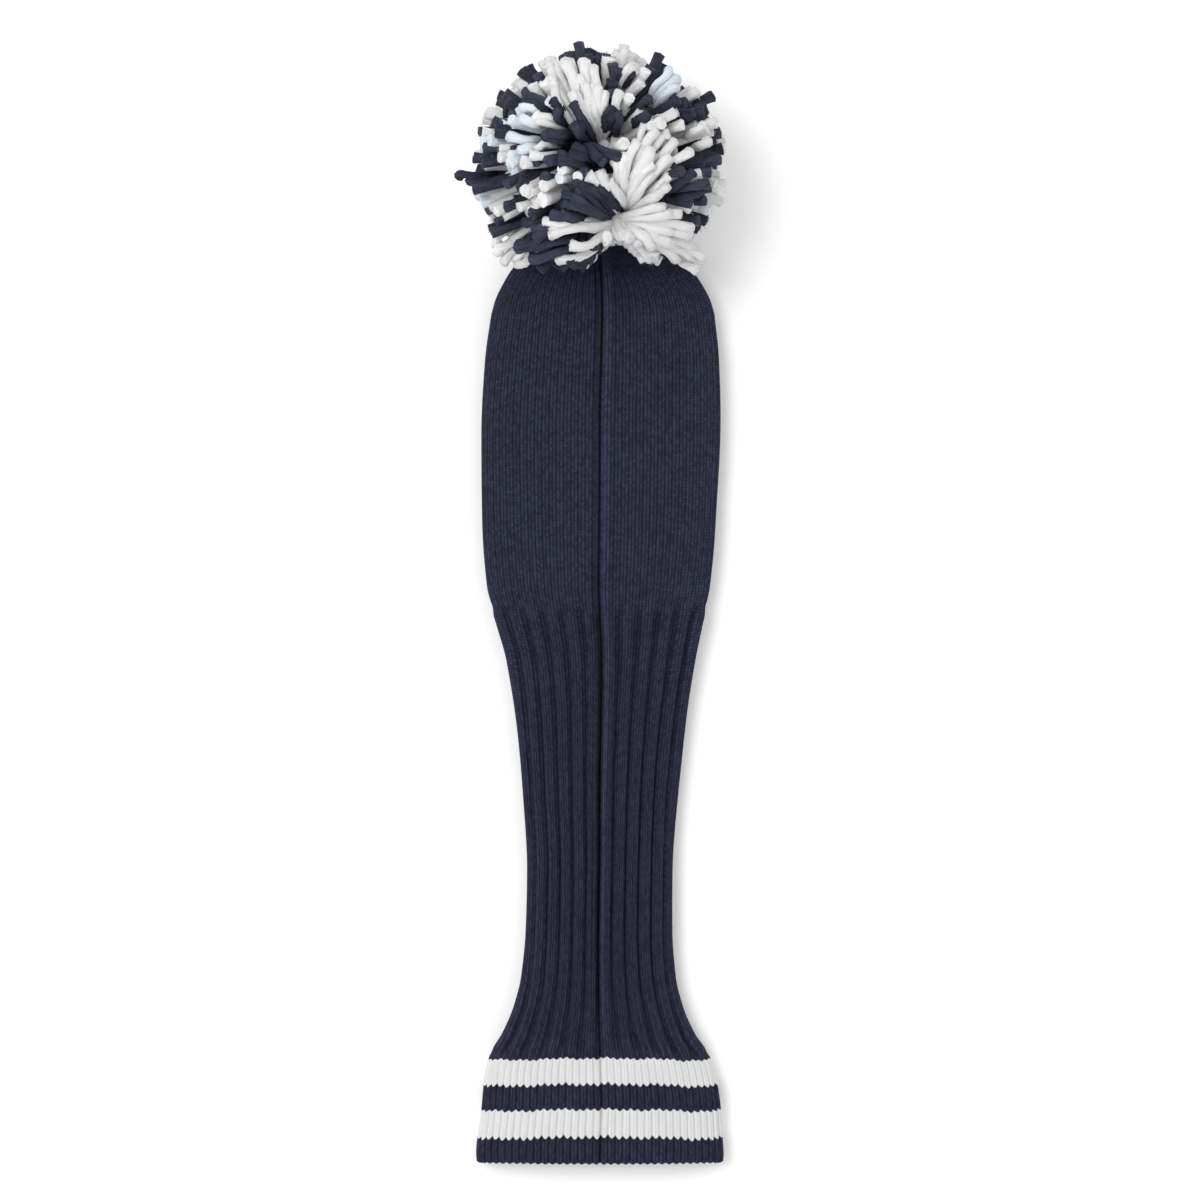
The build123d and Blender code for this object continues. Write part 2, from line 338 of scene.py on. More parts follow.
def yarn_material(name, dark, light, sheen):
    """Loose yarn: each strand has its own tone from its Strand map, with fibres along it."""
    material, tree, shader = new_material(name, sheen, light, 0.92)
    layout = tree.nodes.new("ShaderNodeUVMap")
    layout.uv_map = "Yarn"
    fibres = tree.nodes.new("ShaderNodeGroup")
    fibres.node_tree = FIBRES
    tree.links.new(layout.outputs["UV"], fibres.inputs["Round and along"])
    strand = tree.nodes.new("ShaderNodeUVMap")
    strand.uv_map = "Strand"
    split = tree.nodes.new("ShaderNodeSeparateXYZ")
    tree.links.new(strand.outputs["UV"], split.inputs[0])
    share = calc(tree, "ADD", calc(tree, "MULTIPLY_ADD", fibres.outputs["Tone"], 1.8, -0.6),
                 calc(tree, "MULTIPLY", split.outputs["X"], 0.4))
    share = calc(tree, "MINIMUM", calc(tree, "MAXIMUM", share, 0.0), 1.0)
    tree.links.new(mix_color(tree, share, (*dark, 1.0), (*light, 1.0)), shader.inputs["Base Color"])
    bump(tree, shader, fibres.outputs["Height"], 0.5 * MM, 1.0)
    return material


NAVY_KNIT = knit_material("Navy knit", (0.0045, 0.005, 0.010), (0.060, 0.068, 0.129), 0.08,
                          0.75 * MM, 0.68)
WHITE_KNIT = knit_material("White knit", (0.66, 0.66, 0.665), (0.90, 0.90, 0.90), 0.08,
                           0.35 * MM, 0.3)
NAVY_YARN = yarn_material("Navy pom-pom yarn", (0.008, 0.009, 0.016), (0.068, 0.078, 0.115), 0.10)
WHITE_YARN = yarn_material("White pom-pom yarn", (0.66, 0.66, 0.665), (0.93, 0.93, 0.93), 0.2)
ICE_YARN = yarn_material("Ice-blue pom-pom yarn", (0.62, 0.685, 0.745), (0.84, 0.885, 0.93), 0.2)
SEAM_YARN = yarn_material("Navy seam yarn", (0.012, 0.014, 0.024), (0.045, 0.050, 0.088), 0.05)
LINING = knit_material("Lining", (0.006, 0.007, 0.011), (0.026, 0.030, 0.045), 0.25, 0.2 * MM, 0.4)


# ---------------------------------------------------------------- the sock's shape

# Along the cover, from the hem edge: place, left side, right side, height, all in millimetres
OUTLINE = np.array([
    (0, -50.3, 50.3, 20.5),
    (4, -50.6, 50.7, 21.0),
    (22, -48.6, 49.9, 21.0),
    (35, -47.3, 48.0, 20.5),
    (43, -45.4, 45.6, 20.0),
    (52, -39.7, 39.1, 19.5),
    (64, -34.3, 33.4, 18.5),
    (77, -31.1, 29.9, 18.0),
    (95, -29.7, 28.5, 17.5),
    (120, -29.4, 28.9, 17.5),
    (151, -31.2, 31.0, 18.0),
    (182, -33.5, 34.4, 19.0),
    (206, -37.0, 38.4, 20.5),
    (225, -42.8, 42.7, 21.5),
    (237, -46.2, 45.4, 22.0),
    (262, -48.2, 47.8, 23.0),
    (298, -48.7, 48.7, 23.5),
    (329, -47.0, 48.2, 23.5),
    (348, -44.6, 46.6, 23.0),
])

# The crown: place along its middle line, place along the cover, half width, half height,
# middle height and how far it turns up in degrees
CROWN = np.array([
    (348, 348.0, 45.6, 14.3, 8.7, 0),
    (354, 354.0, 43.9, 14.1, 8.9, 2),
    (360, 359.9, 41.0, 13.6, 9.4, 6),
    (367, 366.7, 36.4, 12.6, 10.4, 14),
    (373, 372.2, 29.6, 11.3, 11.7, 25),
    (378, 376.4, 21.0, 9.8, 13.2, 35),
    (382, 379.3, 11.5, 7.6, 14.9, 43),
    (384.6, 380.6, 2.6, 2.4, 16.3, 46),
])
SECTION_POWER = 2.25
OVAL_SHARE = 0.62
SECTION_STEPS = 720

# Where one thing gives way to the next along the cover, in millimetres from the hem edge
HEM_RIDGES_END = (41.0, 45.0)
RIBS_START = (43.5, 48.0)
RIBS_END = (224.0, 230.0)
RELIEF_FADES = (366.0, 383.0)
WAVES_FADE = (366, 380)
DEPTH_FADES = (366, 384)
SEAM_FADES = (372, 382)
SEAM_DEEPENS = (40, 60)
SEAM_EASES = (228, 260)
SELVEDGE_GROWS = (38, 60)

# The seam, in millimetres round from the top middle: the fainter groove and the selvedge beside it
FAINT_GROOVE = -2.5
SELVEDGE = 2.6


def sock_sections(place):
    """Half width, middle, half height, middle height, turn and place along Y of each section."""
    mm = (place - hem_edge) / MM
    flat = np.minimum(mm, OUTLINE[-1, 0])
    left = smooth_curve(flat, OUTLINE[:, 0], OUTLINE[:, 1])
    right = smooth_curve(flat, OUTLINE[:, 0], OUTLINE[:, 2])
    height = smooth_curve(flat, OUTLINE[:, 0], OUTLINE[:, 3])
    crown = mm > CROWN[0, 0]
    up = [smooth_curve(mm, CROWN[:, 0], CROWN[:, column]) for column in range(1, 6)]
    half = np.where(crown, up[1], (right - left) / 2)
    fade = 1 - smooth_step(mm, CROWN[0, 0], CROWN[-1, 0])
    middle = (left + right) / 2 * fade
    half_height = np.where(crown, up[2], height * OVAL_SHARE)
    middle_height = np.where(crown, up[3], height * (1 - OVAL_SHARE))
    turn = np.where(crown, np.radians(up[4]), 0.0)
    along = np.where(crown, hem_edge + up[0] * MM, place)
    return half * MM, middle * MM, half_height * MM, middle_height * MM, turn, along


def sock_surface(place, turns, floor):
    """The sock's face before any stitches. Each section is the curve |x/a|^p + |z/b|^p = 1, pressed
    flat where it meets the floor, and points are spaced evenly round it from the top middle."""
    a, middle, b, c, turn, along = (v[:, None] for v in sock_sections(place))
    angle = np.linspace(0, 2 * np.pi, SECTION_STEPS + 1)[None, :]
    power = 2 / SECTION_POWER
    x = a * np.sign(np.sin(angle)) * np.abs(np.sin(angle)) ** power
    up = b * np.sign(np.cos(angle)) * np.abs(np.cos(angle)) ** power
    x = x + middle
    y = along - up * np.sin(turn)
    z = soft_floor(c + up * np.cos(turn), floor[:, None], 1.2 * MM)
    steps = np.hypot(np.hypot(np.diff(x, axis=1), np.diff(y, axis=1)), np.diff(z, axis=1))
    walked = np.concatenate([np.zeros((len(place), 1)), np.cumsum(steps, axis=1)], axis=1)
    round_length = walked[:, -1]
    even = turns[None, :] * round_length[:, None]
    return np.stack([np.stack([np.interp(e, w, v) for e, w, v in zip(even, walked, values)])
                     for values in (x, y, z)], -1), round_length


def stitch_height(wales, place):
    """One stitch's two legs, 0 to 1, each rounded across and along its slanted course as
    1 - d^2."""
    from_middle = np.abs(2 * (wales % 1.0) - 1)
    leg = 1 - (2 * (from_middle - 0.5)) ** 2
    along = 2 * ((place / COURSE - STITCH_SLANT * from_middle) % 1.0) - 1
    return leg * (0.25 + 0.75 * (1 - along**2))


def relief(wales, place, round_length):
    """How far the knit stands proud, in metres: plain knit has two low ridges to a wale, the hem
    one high ridge to a wale with its stitches on it, and the neck one broad rib to three wales
    with four ridges on it."""
    mm = (place - hem_edge) / MM
    across = wales % 1.0
    legs = 0.5 - 0.5 * np.cos(4 * np.pi * across)
    column = 0.5 - 0.5 * np.cos(2 * np.pi * across)
    plain = 0.32 * legs + 0.26 * column
    hem = 0.9 * column**0.6 + 0.24 * stitch_height(wales, place)
    rib_width = 3 * round_length / MM / WALES
    purl = np.clip(0.5 * (1 - 4.7 / rib_width), 0.07, 0.17) + 0.012 * np.sin(mm / 7.0 + wales * 1.3)
    rib_across = (wales / 3) % 1.0
    on_rib = np.clip((rib_across - purl) / (1 - 2 * purl), 0, 1)
    rib_ridges = 0.5 - 0.5 * np.cos(8 * np.pi * on_rib)
    rib = 2.1 * (1 - np.abs(2 * on_rib - 1) ** 4) + 0.3 * rib_ridges
    ribbed = smooth_step(mm, *RIBS_START) * (1 - smooth_step(mm, *RIBS_END))
    hemmed = 1 - smooth_step(mm, *HEM_RIDGES_END)
    plain_share = np.clip(1 - ribbed - hemmed, 0, 1)
    tip = 1 - smooth_step(mm, *RELIEF_FADES) * 0.8
    return (ribbed * rib + hemmed * hem + plain_share * plain) * tip * MM


def seam_relief(turns, place, round_length):
    """The centre-back seam: a groove at the top middle, a fainter one a wale to its left, and a
    rounded selvedge on its right, all as bell curves of the distance round from the seam."""
    mm = (place - hem_edge) / MM
    off = np.where(turns > 0.5, turns - 1, turns) * round_length / MM
    depth = 1.4 + 0.5 * smooth_step(mm, *SEAM_DEEPENS) - 0.2 * smooth_step(mm, *SEAM_EASES)
    groove = -depth * np.exp(-((off / 0.75) ** 2))
    left = -0.4 * depth * np.exp(-(((off - FAINT_GROOVE) / 0.6) ** 2))
    selvedge = np.exp(-((np.abs(off - SELVEDGE) / 1.8) ** 4))
    selvedge = (0.3 + 0.7 * smooth_step(mm, *SELVEDGE_GROWS)) * selvedge
    fade = 1 - smooth_step(mm, *SEAM_FADES)
    return (groove + left + selvedge) * fade * MM


def hand(turns, place):
    """The unevenness of soft fabric laid by hand: a few long waves added together."""
    mm = (place - hem_edge) / MM
    wave = (np.sin(mm / 19.0 + 2 * np.pi * turns * 2 + 0.6) * 0.30
            + np.sin(mm / 31.0 - 2 * np.pi * turns * 3 + 2.1) * 0.34
            + np.sin(mm / 11.0 + 2 * np.pi * turns * 5 + 4.0) * 0.12)
    return wave * (1 - smooth_step(mm, *WAVES_FADE)) * smooth_step(mm, -4, 14) * MM


def band_edge(place, wales, depth, drift):
    """Where one yarn takes over from the next, or the knit ends: lowest at the middle of each wale,
    where a stitch's legs meet. drift is the share of a slow rise and fall along the edge, which is
    highest beside the seam."""
    across = np.abs(2 * (wales % 1.0) - 1)
    off_seam = np.minimum(wales, WALES - wales) / WALES
    wave = 1.1 * np.exp(-((off_seam / 0.07) ** 2)) - 0.35 * np.cos(2 * np.pi * 5 * off_seam)
    uneven = 0.22 * np.sin(wales * 1.9) + 0.18 * np.sin(wales * 0.77 + 1.0)
    return place + ((across**1.3 - 0.5) * depth + (wave + uneven) * drift) * MM


def sock_points(place, turns, proud):
    """Points of the knit at places (rows x columns), proud of the knit's base face by that much."""
    rows = place.mean(axis=1)
    mm = (rows - hem_edge) / MM
    hemmed = 1 - smooth_step(mm, 40, 48)
    ribbed = 1.5 * smooth_step(mm, 42, 48) * (1 - smooth_step(mm, 222, 232))
    floor = (0.35 + 0.8 * hemmed + ribbed) * MM
    base, round_length = sock_surface(rows, turns, floor)
    shift = place - rows[:, None]
    base[..., 1] += shift
    along_wale = np.gradient(base, axis=0)
    along_course = (np.roll(base, -1, axis=1) - np.roll(base, 1, axis=1)) / 2
    outward = unit(np.cross(along_course, along_wale))
    points = base + outward * proud(place, round_length[:, None])[..., None]
    points[..., 2] = soft_floor(points[..., 2], 0.05 * MM, 0.15 * MM)
    return points


def knit_painted_light(wales, place, round_length):
    """How light the knit is painted: painted shade, darker down between ribs and in the seam's groove
    where little light reaches, and a painted highlight, a touch lighter, on the selvedge beside it."""
    mm = (place - hem_edge) / MM
    ribbed = smooth_step(mm, 44.0, 52.0) * (1 - smooth_step(mm, *RIBS_END))
    to_groove = np.abs((wales / 3 + 0.5) % 1.0 - 0.5) * 3 * round_length / MM / WALES
    off = np.where(wales > WALES / 2, wales - WALES, wales) * round_length / MM / WALES
    # Painted shade down in the grooves between ribs.
    groove = 0.66 * ribbed * np.exp(-((to_groove / 0.75) ** 2))
    # Painted shade in the seam's groove and the fainter groove beside it.
    faint = 0.45 * np.exp(-(((off - FAINT_GROOVE) / 0.6) ** 2))
    seam = 0.62 * np.exp(-((off / 0.8) ** 2)) + faint
    seam = seam * (0.8 + 0.2 * smooth_step(mm, *SELVEDGE_GROWS))
    # Painted highlight: the selvedge beside the seam is a touch lighter.
    selvedge = 0.6 * np.exp(-((np.abs(off - SELVEDGE) / 1.7) ** 4)) * smooth_step(mm, 44, 70)
    return np.clip(1 - groove - seam, 0.12, 1) + selvedge


def face_depth(place):
    """How far the knit's base lies inside its outline, so that its ridges just reach that."""
    mm = (place - hem_edge) / MM
    hemmed = 1 - smooth_step(mm, *HEM_RIDGES_END)
    ribbed = smooth_step(mm, *RIBS_START) * (1 - smooth_step(mm, 222, 231))
    return (0.25 + 0.45 * hemmed + 1.0 * ribbed) * (1 - smooth_step(mm, *DEPTH_FADES)) * MM


def knit_face(place, round_length, turns):
    """The outer face's height over the base face."""
    wales = turns * WALES
    return (relief(wales, place, round_length) + seam_relief(turns, place, round_length)
            + hand(turns, place))


def knit_tube(name, start, end, rows_out, material, edges=(0.0, 0.0), open_start=False):
    """A stretch of the sock as one closed wall: out along its face, over its end, back along its
    inside and round its start. edges are the depths of its zigzag ends in millimetres, and an open
    start has a rounded rim."""
    turns = np.arange(WALES * SAMPLES_PER_WALE) / (WALES * SAMPLES_PER_WALE)
    wales = turns * WALES
    low = band_edge(start, wales, edges[0], 1.0 * (edges[0] > 0 and not open_start))[None, :]
    high = band_edge(end, wales, edges[1], 1.0 * (edges[1] > 0))[None, :]
    rows_in = max(8, rows_out // 6)
    share_out = np.concatenate([[0.0], np.linspace(0.0008, 0.9992, rows_out), [1.0]])[:, None]
    share_in = np.linspace(0, 1, rows_in)[:, None]
    place_out = low + share_out * (high - low)
    place_in = low + share_in * (high - low)

    def outer(place, round_length):
        """The outer face over the outline."""
        return knit_face(place, round_length, turns[None, :]) - face_depth(place)

    def inner(place, round_length):
        """The inner face, a wall's thickness in, with one low wave to a wale."""
        wave = 0.25 * MM * np.cos(2 * np.pi * wales[None, :])
        return hand(turns[None, :], place) - KNIT_WALL - face_depth(place) + wave

    face = sock_points(place_out, turns, outer)
    inside = sock_points(place_in, turns, inner)[::-1]
    rounds = [face]
    if open_start:
        bulge = np.array([0.0, -0.45 * MM, 0.0])
        rim = (face[0] + inside[-1]) / 2 + 2 * bulge
        rounds = [(face[0] * 0.8 + inside[-1] * 0.2 + bulge)[None], face]
        inside = np.concatenate([inside, rim[None]])
    rounds.append(inside)
    points = np.concatenate(rounds)
    quads, corners = grid_faces(len(points), len(turns), True, True)
    course = np.concatenate([place_out[:, 0], place_in[::-1, 0]]) / COURSE
    if open_start:
        course = np.concatenate([course[:1] - 0.5, course, course[-1:] - 0.5])
    course_next = np.append(course, course[0] - 1)
    knit = np.stack([corners[..., 1] / SAMPLES_PER_WALE, course_next[corners[..., 0]]], -1)
    bake = wall_map(corners, len(points), len(turns))
    steps = np.diff(points, axis=1, append=points[:, :1])
    round_length = np.linalg.norm(steps, axis=-1).sum(axis=1)
    # Painted shade in the grooves and a painted highlight on the selvedge, one value a point.
    painted_light = knit_painted_light(wales[None, :], points[..., 1], round_length[:, None])
    return make_piece(name, points, quads.tolist(), {"OFBake": bake, "Knit": knit}, material,
                      painted_light=painted_light)


def make_knit():
    """Sleeve with the stretch that bends, neck and the hem's four bands."""
    crown_end = hem_edge + CROWN[-1, 0] * MM
    sleeve = knit_tube("sleeve_knit_piece", bend_start, crown_end, 138, NAVY_KNIT)
    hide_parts("sleeve_knit", "neck_transition")
    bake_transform(sleeve)
    neck = knit_tube("neck_rib_piece", neck_start, bend_start, 138, NAVY_KNIT, (0.9, 0.0))
    white, navy = (WHITE_KNIT, "white_rib"), (NAVY_KNIT, "navy_rib")
    bands = [
        ("hem_white_upper", upper_white_start, neck_start, white, (1.4, 0.9)),
        ("hem_navy_middle", middle_navy_start, upper_white_start, navy, (1.0, 1.4)),
        ("hem_white_lower", lower_white_start, middle_navy_start, white, (1.5, 1.0)),
        ("hem_edge_navy", hem_edge + 0.9 * MM, lower_white_start, navy, (0.7, 1.5)),
    ]
    for node, start, end, (material, slot), edges in bands:
        band = knit_tube(node + "_piece", start, end, 42, material, edges, node == "hem_edge_navy")
        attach(band, "neck")
        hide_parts(node)
    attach(neck, "neck")
    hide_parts("neck_rib")


# ---------------------------------------------------------------- yarn

def tube_geometry(path, radius, sides, spin, lobes=1, lobe_depth=0.0, tone=None, up=None,
                  area=(0.0, 1.0), fray=None):
    """Closed tubes along paths (strands x rings x 3). A ring's points are at radius x (1 + depth x
    cos(lobes x angle)), the section turns by spin, and each end is a shallow fan. fray moves each
    point of the last ring along the strand. Each tube is unrolled into its own cell of the strip of
    the OFBake square between the two shares in area."""
    strands, rings, _ = path.shape
    tangent = unit(np.gradient(path, axis=1))
    if up is None:
        chord = np.abs(path[:, -1] - path[:, 0])
        up = np.eye(3)[chord.argmin(axis=1)][:, None, :]
    side = unit(np.cross(tangent, up))
    other = np.cross(side, tangent)
    angle = np.arange(sides) / sides * 2 * np.pi
    reach = radius[..., None] * (1 + lobe_depth * np.cos(lobes * angle))
    full = -(angle + spin[..., None])
    body = (path[:, :, None, :] + side[:, :, None, :] * (np.cos(full) * reach)[..., None]
            + other[:, :, None, :] * (np.sin(full) * reach)[..., None])
    if fray is not None:
        body[:, -1] += tangent[:, -1][:, None] * fray[..., None]
    head = path[:, 0] - tangent[:, 0] * radius[:, :1] * 0.3
    tail = path[:, -1] + tangent[:, -1] * radius[:, -1:] * 0.15
    points = np.concatenate([body.reshape(strands, -1, 3), head[:, None], tail[:, None]], axis=1)

    quads, corners = grid_faces(rings, sides, False, True)
    column = np.arange(sides)
    after = (column + 1) % sides
    last = (rings - 1) * sides
    pole = np.full(sides, rings * sides)
    fans = np.concatenate([np.stack([pole, after, column], -1),
                           np.stack([pole + 1, last + column, last + after], -1)])
    offset = (np.arange(strands) * points.shape[1])[:, None, None]

    turn = corners[..., 1] / sides
    ring = corners[..., 0].astype(float)
    start = column / sides
    fan_turn = np.concatenate([np.stack([start, start + 1 / sides, start], -1),
                               np.stack([start, start, start + 1 / sides], -1)])
    fan_ring = np.concatenate([np.tile([-1.0, 0.0, 0.0], (sides, 1)),
                               np.tile([rings, rings - 1.0, rings - 1.0], (sides, 1))])
    length = np.concatenate([np.zeros((strands, 1)), np.cumsum(
        np.linalg.norm(np.diff(path, axis=1), axis=-1), axis=1)], axis=1) / MM
    cells = math.ceil(math.sqrt(strands))
    index = np.arange(strands)
    cell = np.stack([index % cells, index // cells], -1)[:, None, None, :]

    def unrolled(turns, ring_places):
        """Each corner's place in its tube's own cell of the OFBake square."""
        local = np.stack([0.05 + 0.9 * turns, 0.05 + 0.9 * (ring_places + 1) / (rings + 1)], -1)
        flat = (cell + local[None]) / cells
        flat[..., 1] = area[0] + flat[..., 1] * (area[1] - area[0])
        return flat.reshape(-1, 2)

    def along(turns, ring_places):
        """Each corner's turn round the tube and its millimetres along it."""
        whole = np.clip(ring_places, 0, rings - 1).astype(int)
        far = length[:, whole]
        return np.stack([np.broadcast_to(turns, far.shape), far], -1).reshape(-1, 2)

    tone = np.full(strands, 0.5) if tone is None else tone
    tones = np.concatenate([np.repeat(tone, len(quads) * 4), np.repeat(tone, len(fans) * 3)])
    maps = {"OFBake": np.concatenate([unrolled(turn, ring), unrolled(fan_turn, fan_ring)]),
            "Yarn": np.concatenate([along(turn, ring), along(fan_turn, fan_ring)]),
            "Strand": np.stack([tones, tones * 0], -1)}
    return (points.reshape(-1, 3), (quads[None] + offset).reshape(-1, 4),
            (fans[None] + offset).reshape(-1, 3), maps)


def yarn_piece(name, parts, material, flat_parts=()):
    """Several tube geometries as one mesh object. Their sides are shaded smooth and their cut ends
    flat, and the parts numbered in flat_parts are shaded flat all over."""
    points = np.concatenate([part[0] for part in parts])
    faces, start = [], 0
    for part in parts:
        faces += (part[1] + start).tolist() + (part[2] + start).tolist()
        start += len(part[0])
    maps = {label: np.concatenate([part[3][label] for part in parts]) for label in parts[0][3]}
    smooth = np.concatenate([
        np.repeat([number not in flat_parts, False], [len(part[1]), len(part[2])])
        for number, part in enumerate(parts)])
    return make_piece(name, points, faces, maps, material, smooth)


def plied_yarn(path, radius, pitch, plies=2, up=None, area=(0.0, 1.0)):
    """One yarn along one path (rings x 3): its plies wind round the path once every pitch."""
    tangent = unit(np.gradient(path, axis=0))
    up = np.array([[1.0, 0.0, 0.0]]) if up is None else up
    side = unit(np.cross(tangent, up))
    other = np.cross(side, tangent)
    walked = np.concatenate([[0.0], np.cumsum(np.linalg.norm(np.diff(path, axis=0), axis=-1))])
    phase = 2 * np.pi * (walked[None, :] / pitch + np.arange(plies)[:, None] / plies)
    off = radius * 0.5
    lines = (path[None] + side[None] * (np.cos(phase) * off)[..., None]
             + other[None] * (np.sin(phase) * off)[..., None])
    width = np.full(lines.shape[:2], radius * 0.62)
    return tube_geometry(lines, width, 8, np.zeros(lines.shape[:2]), area=area,
                         up=np.broadcast_to(up, path.shape)[None])


def seam_path(start, end, depth):
    """The seam yarn's way along the groove: it crosses from side to side once every two courses."""
    places = np.arange(start, end, 0.42 * MM)
    turns = np.arange(240) / 240
    face = sock_points(places[:, None] + 0 * turns[None, :], turns,
                       lambda place, round_length: knit_face(place, round_length, turns[None, :])
                       - face_depth(place))
    path = face[:, 0].copy()
    path[:, 0] += 0.45 * MM * np.sin(2 * np.pi * places / (2 * COURSE))
    path[:, 2] -= depth + 0.15 * MM * np.cos(4 * np.pi * places / (2 * COURSE))
    return path


def make_seams():
    """The yarn that closes the centre-back seam, in three runs, lying down in the seam's groove."""
    seam_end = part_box("sleeve_seam")[1].y
    runs = [
        ("hem_seam_yarn", hem_edge + 0.6 * MM, neck_start, 0.9 * MM, ["hem_seam"]),
        ("neck_seam_yarn", neck_start, bend_start, 0.45 * MM, ["neck_seam"]),
        ("sleeve_seam_yarn", bend_start, seam_end, 0.45 * MM, ["transition_seam", "sleeve_seam"]),
    ]
    for name, start, end, depth, nodes in runs:
        path = seam_path(start, end, depth)
        piece = yarn_piece(name, [plied_yarn(path, 0.55 * MM, 2.2 * MM)], SEAM_YARN)
        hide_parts(*nodes)
        if "sleeve_seam" in nodes:
            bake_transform(piece)
        else:
            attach(piece, "neck")


# ---------------------------------------------------------------- inside the cover

# The gathering ring's radius in millimetres. In metres: how far the stub's end and the knot lie from
# the ring along the tie, and the radii of the tie and of the core. The core's rings and turns of yarn.
GATHER_RADIUS = 4.8
STUB_REACH = 3.0 * MM
KNOT_DEPTH = 5.5 * MM
TIE_YARN = 1.35 * MM
CORE_REACH = 7.0 * MM
CORE_RINGS = 700
CORE_TURNS = 17


def inner_layer(name, start, end, outside, wall, closed, material):
    """A smooth layer inside the knit, as one closed wall. closed draws its far end in to a pocket:
    each row of the cap is the last row x cos(a), moved on by sin(a)."""
    turns = np.arange(240) / 240
    places = np.linspace(start, end, 50)[:, None] + 0 * turns[None, :]

    def layer(depth, draw):
        """One face of the wall at that depth, with a cap drawn out so far if it is closed."""
        rows = sock_points(places, turns, lambda place, round_length:
                           hand(turns[None, :], place) - face_depth(place) - depth)
        if not closed:
            return rows
        share = np.linspace(0, 1, 14)[1:, None, None]
        middle = rows[-1].mean(axis=0)
        cap = middle + (rows[-1] - middle) * np.cos(share * np.pi / 2)
        cap[..., 1] += draw * np.sin(share[..., 0] * np.pi / 2)
        return np.concatenate([rows, cap])

    outer = layer(outside, 5 * MM)
    inner = layer(outside + wall, 5 * MM - wall)[::-1]
    points = np.concatenate([outer, inner])
    quads, corners = grid_faces(len(points), len(turns), True, True)
    knit = np.stack([corners[..., 1] * WALES / len(turns), corners[..., 0] * 1.7], -1)
    bake = wall_map(corners, len(points), len(turns))
    if closed:
        poles = (quads // len(turns) >= len(outer) - 1) & (quads // len(turns) <= len(outer))
        keep = ~poles.all(axis=1)
        quads, knit, bake = quads[keep], knit[keep], bake[keep]
        pole_rows = (len(outer) - 1, len(outer))
        points[pole_rows[0]] = points[pole_rows[0]].mean(axis=0)
        points[pole_rows[1]] = points[pole_rows[1]].mean(axis=0)
    piece = make_piece(name, points, quads.tolist(), {"OFBake": bake, "Knit": knit}, material,
                       painted_light=np.ones(points.shape[:2]))
    weld(piece)
    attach(piece, "head")
    return piece


def weld(piece):
    """Joins points that lie at the same place, which closes poles."""
    work = bmesh.new()
    work.from_mesh(piece.data)
    bmesh.ops.remove_doubles(work, verts=work.verts, dist=1e-6)
    work.to_mesh(piece.data)
    work.free()


def make_inside():
    """Lining pocket and its binding, the gathering yarn and knot in the crown, the cord on to the
    pom-pom and the yarn wound round its middle."""
    depth = KNIT_WALL + 0.7 * MM
    pocket = inner_layer("lining_pocket", lining_start, lining_end - 6 * MM, depth, 1.2 * MM, True,
                         LINING)
    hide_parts("head_lining")
    binding = inner_layer("lining_edge_binding", binding_start, lining_start - 0.2 * MM, depth,
                          1.9 * MM, False, LINING)
    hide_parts("lining_binding")

    way = unit(pom_center - tie_start)
    across = np.array([1.0, 0.0, 0.0])
    over = np.cross(way, across)

    def placed(local, center):
        """Points given across, over and along the tie, set at center."""
        return center + local[:, :1] * across + local[:, 1:2] * over + local[:, 2:] * way

    t = np.linspace(0, 2 * np.pi, 145)
    ring = (GATHER_RADIUS + 0.35 * np.cos(9 * t)) * MM
    gather = np.column_stack([ring * np.cos(t), ring * np.sin(t), 0.5 * MM * np.sin(9 * t)])
    gather_path = placed(gather, tie_start)
    piece = yarn_piece("gathering_yarn", [plied_yarn(gather_path, 0.8 * MM, 4 * MM, up=way[None])],
                       SEAM_YARN)
    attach(piece, "head")
    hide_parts("crown_gather_yarn")

    tilt = tie_start + way * STUB_REACH
    knot = tie_start - way * KNOT_DEPTH
    coil = np.column_stack([np.sin(t) + 2 * np.sin(2 * t), np.cos(t) - 2 * np.cos(2 * t),
                            -np.sin(3 * t)]) * 0.62 * MM
    stub = knot + np.linspace(0, 1, 30)[:, None] * (tilt - knot)
    piece = yarn_piece("tie_knot_yarn", [
        plied_yarn(placed(coil, knot), 0.9 * MM, 4 * MM, up=way[None], area=(0.0, 0.5)),
        plied_yarn(stub, TIE_YARN, 6 * MM, area=(0.5, 1.0))], WHITE_YARN)
    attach(piece, "tie")
    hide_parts("tie_knot")

    cord_end = pom_center - way * CORE_REACH
    cord = tilt + np.linspace(0, 1, 80)[:, None] * (cord_end - tilt)
    piece = yarn_piece("tie_cord_yarn", [plied_yarn(cord, TIE_YARN, 6 * MM)], WHITE_YARN)
    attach(piece, "core")
    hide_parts("tie_cord")

    t = np.linspace(0, 1, CORE_RINGS)
    spin = 2 * np.pi * CORE_TURNS * t
    lean = np.pi * t
    flat = np.column_stack([np.cos(spin), np.sin(spin) * np.cos(lean), np.sin(spin) * np.sin(lean)])
    wound = placed(flat * CORE_REACH, pom_center)
    ball = tube_geometry(wound[None], np.full((1, CORE_RINGS), 1.05 * MM), 8,
                         np.zeros((1, CORE_RINGS)), up=(wound - pom_center)[None])
    piece = yarn_piece("core_wound_yarn", [ball], WHITE_YARN)
    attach(piece, "core")
    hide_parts("core_binding")


# ---------------------------------------------------------------- pom-pom

